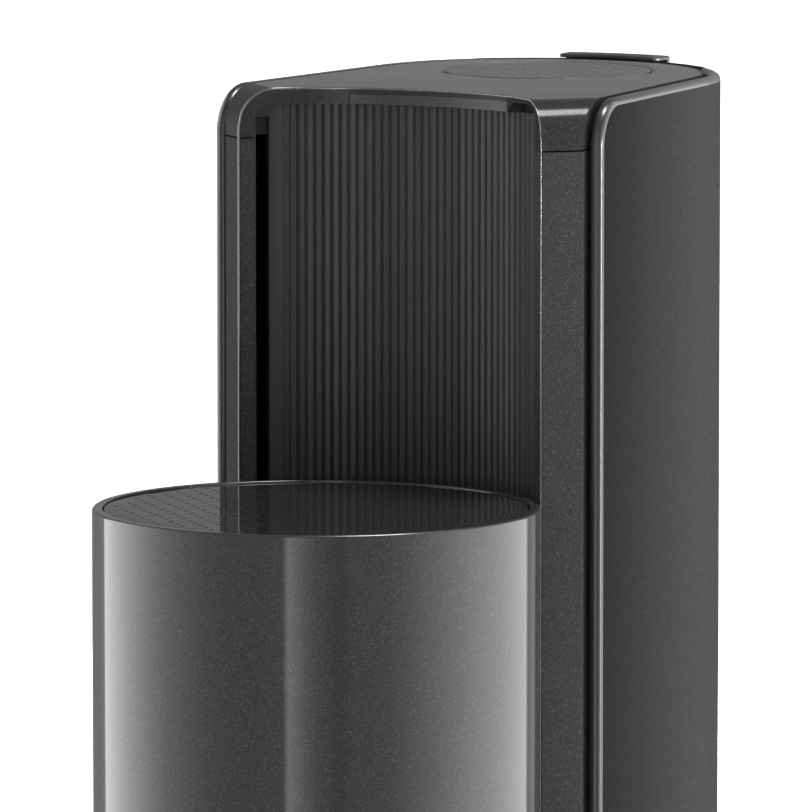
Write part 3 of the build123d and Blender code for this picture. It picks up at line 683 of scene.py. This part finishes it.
def round_bar(path, radius, sides=10):
    """Points and faces of a thin round bar along a path."""
    verts, faces = [], []
    for index, point in enumerate(path):
        before = Vector(path[max(0, index - 1)])
        after = Vector(path[min(len(path) - 1, index + 1)])
        ahead = (after - before).normalized()
        across = ahead.cross(Vector((0.3, -0.9, 0.31))).normalized()     # any direction off the path
        up = across.cross(ahead)
        verts += [Vector(point) + (across * a + up * b) * radius for a, b in circle(1.0, sides)]
    last = (len(path) - 1) * sides
    for start in range(0, last, sides):
        faces += band(start, start + sides, sides)
    faces.append(tuple(range(sides)))
    faces.append(tuple(range(last, last + sides)))
    return verts, faces


def rim_bead():
    """Thin bright bead round the hollow's edge, a painted highlight; the left one is thicker, as it shows
    less light.
    """
    path = rim_path()
    for name, side, radius in (("rim_bead_left", -1, 0.45), ("rim_bead_right", 1, 0.22)):
        verts, faces = round_bar(path, radius)
        extra_piece(name, [(side * x, y, z) for x, y, z in verts], faces, RIM_PAINTED_HIGHLIGHT)


hood_pieces()
button_pieces()
side_shells()
rim_bead()
soft_pieces()

# Rounding of the sharp edges of the pieces that keep their CAD shape, in millimetres.
EDGES = {
    "rear_cover": 0.6, "cover_tab": 0.6, "ribbed_wall": 0.18, "top_cap": 0.25, "top_plate": 0.15,
    "front_pillar_left": 0.35, "front_pillar_right": 0.35, "lintel_bar": 0.3, "base_shell": 0.4,
    "drip_grille": 0.3, "drip_tray": 0.3, "carriage": 0.5,
    "hood_arm_left": 0.3, "hood_arm_right": 0.3, "chassis_frame": 0.3, "rod_bracket_top": 0.4,
    "rod_bracket_bottom": 0.4, "valve_block": 0.5, "valve_bracket": 0.4, "actuator_lever": 0.4,
    "cylinder_cradle": 0.5, "cylinder_collar": 0.5, "hinge_lugs": 0.3, "carbonating_head": 0.6,
    "hood_deck": 0.4, "rubber_feet": 0.5, "line_elbow": 0.4, "arm_screws": 0.3, "head_screws": 0.3,
    "cylinder_valve": 0.4, "relief_valve": 0.4, "cover_magnets": 0.3,
}
for name, width in EDGES.items():
    refined(name, width)

for name, obj in nodes.items():
    if not obj.hide_render:
        for slot in obj.material_slots:
            slot.material = MATERIALS[SLOT[name]]


# ---------- floor, light, camera ----------

def make_floor():
    bpy.ops.mesh.primitive_plane_add(size=14.0, location=(0, 0, 0))
    floor = bpy.context.object
    floor.name = "floor"
    mat, kit, shader = material("floor_paper")
    where = position(kit)
    kit.link(mixed(kit, noise(kit, where, 30.0), grey(0.80), grey(0.84)), shader.inputs["Base Color"])
    shader.inputs["Roughness"].default_value = 0.9
    shader.inputs["Specular IOR Level"].default_value = 0.1
    shader.inputs["Emission Color"].default_value = (1.0, 1.0, 1.0, 1.0)
    shader.inputs["Emission Strength"].default_value = 0.45
    floor.data.materials.append(mat)
    floor.visible_glossy = False


# Brightness of the studio walls round the object: degrees clockwise from the camera, brightness.
WALLS = [(-180, 0.25), (-140.5, 0.15), (-139, 3.6), (-104, 2.5), (-85, 1.4), (-54, 0.5), (-16, 0.3),
         (-15, 3.4), (-7, 1.4), (0, 0.55), (12, 0.15), (18, 0.45), (38, 0.5), (49, 0.95), (70, 1.8),
         (86, 2.6), (110, 2.9), (137.5, 2.7), (139, 0.15), (143.5, 0.12), (145.5, 0.45), (160, 0.3),
         (180, 0.25)]
WALL_PEAK = 4.0            # the ramp holds the walls as shares of this brightness
# How the walls fade from straight down (0) to straight up (1).
WALL_FADE = [(0.0, 0.3), (0.2, 0.8), (0.35, 1.0), (0.68, 1.0), (0.84, 0.25), (1.0, 0.12)]
LAMP_POWER = 34.0
LAMP_SIDE = 0.283          # how far the overhead lamp stands to the camera's right
LAMP_EDGE = [(0.0, 0.0), (0.988, 0.0), (0.9955, 1.0), (1.0, 1.0)]
AMBIENT = 0.06


def studio_brightness(kit):
    """Soft boxes round and above the object, as one smooth light field."""
    coords = kit.add("ShaderNodeTexCoord")
    split = kit.add("ShaderNodeSeparateXYZ")
    kit.link(coords.outputs["Generated"], split.inputs[0])
    x, y, z = split.outputs

    def along(direction):
        return kit.math("ADD", kit.math("MULTIPLY", x, direction[0]), kit.math("MULTIPLY", y, direction[1]))

    def as_share(value):
        return kit.math("ADD", kit.math("MULTIPLY", value, 0.5), 0.5)

    angle = kit.math("ARCTAN2", along(RIGHT), along(TOWARD))
    turn = kit.math("ADD", kit.math("DIVIDE", angle, 2 * math.pi), 0.5)
    stops = [((a + 180.0) / 360.0, v / WALL_PEAK) for a, v in WALLS]
    walls = kit.math("MULTIPLY", kit.ramp(turn, stops), WALL_PEAK)
    walls = kit.math("MULTIPLY", walls, kit.ramp(as_share(z), WALL_FADE))
    side = kit.math("MULTIPLY", along(RIGHT), LAMP_SIDE)
    toward_lamp = kit.math("ADD", side, kit.math("MULTIPLY", z, math.sqrt(1.0 - LAMP_SIDE ** 2)))
    lamp = kit.math("MULTIPLY", kit.ramp(as_share(toward_lamp), LAMP_EDGE), LAMP_POWER)
    return kit.math("ADD", kit.math("ADD", walls, lamp), AMBIENT)


def make_world():
    """The studio for every ray but the camera's own, which meets plain white."""
    world = bpy.data.worlds.new("studio")
    scene.world = world
    world.use_nodes = True
    tree = world.node_tree
    tree.nodes.clear()
    kit = Nodes(tree)
    light = kit.add("ShaderNodeBackground")
    kit.link(studio_brightness(kit), light.inputs["Strength"])
    backdrop = kit.add("ShaderNodeBackground")
    backdrop.inputs["Strength"].default_value = 1.0
    path = kit.add("ShaderNodeLightPath")
    mix = kit.add("ShaderNodeMixShader")
    kit.link(path.outputs["Is Camera Ray"], mix.inputs[0])
    kit.link(light.outputs[0], mix.inputs[1])
    kit.link(backdrop.outputs[0], mix.inputs[2])
    out = kit.add("ShaderNodeOutputWorld")
    kit.link(mix.outputs[0], out.inputs[0])


def soft_box(name, where, aim, size, power, spread, glossy=True):
    """Rectangular lamp that the camera doesn't see."""
    data = bpy.data.lights.new(name, "AREA")
    data.shape = "RECTANGLE"
    data.size, data.size_y = size
    data.energy = power
    data.spread = math.radians(spread)
    lamp = bpy.data.objects.new(name, data)
    scene.collection.objects.link(lamp)
    lamp.location = where
    lamp.rotation_euler = (Vector(aim) - Vector(where)).to_track_quat("-Z", "Y").to_euler()
    lamp.visible_camera = False
    lamp.visible_glossy = glossy


def make_lamps():
    """A fill light for the back, which gives no highlight, and a narrow wash along the right side."""
    soft_box("back_fill", where=(-0.55, 1.3, 0.7), aim=(0.0, 0.05, 0.2), size=(0.9, 0.9), power=55.0,
             spread=180.0, glossy=False)
    soft_box("side_wash", where=(0.86, 0.14, 0.22), aim=(0.07, 0.12, 0.22), size=(0.08, 0.7), power=2.0,
             spread=21.0)


make_floor()
make_world()
make_lamps()
make_camera()
scene.view_settings.view_transform = "Standard"
scene.view_settings.look = "None"
